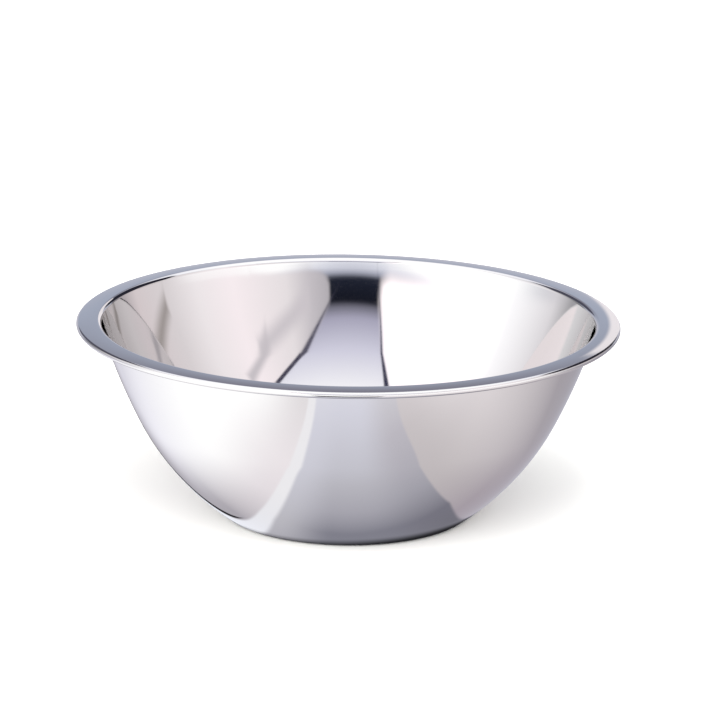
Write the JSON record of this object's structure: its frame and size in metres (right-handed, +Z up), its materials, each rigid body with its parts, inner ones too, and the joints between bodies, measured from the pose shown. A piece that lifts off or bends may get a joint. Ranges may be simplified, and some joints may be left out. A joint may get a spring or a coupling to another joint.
{
  "type": "mixing bowl",
  "caption": "Wide round mixing bowl pressed from sheet steel, with a flat foot, curved wall, level flange and rolled edge.",
  "frame": {"origin": "centre of the flat foot's underside, where the bowl's axis meets the table", "axes": "+Z up along the bowl's axis of revolution; X and Y lie in the table's plane"},
  "size_m": [0.3, 0.3, 0.11],
  "materials": {
    "polished_stainless": "polished"
  },
  "bodies": {
    "root": {"bowl": "polished_stainless"}
  },
  "joints": []
}
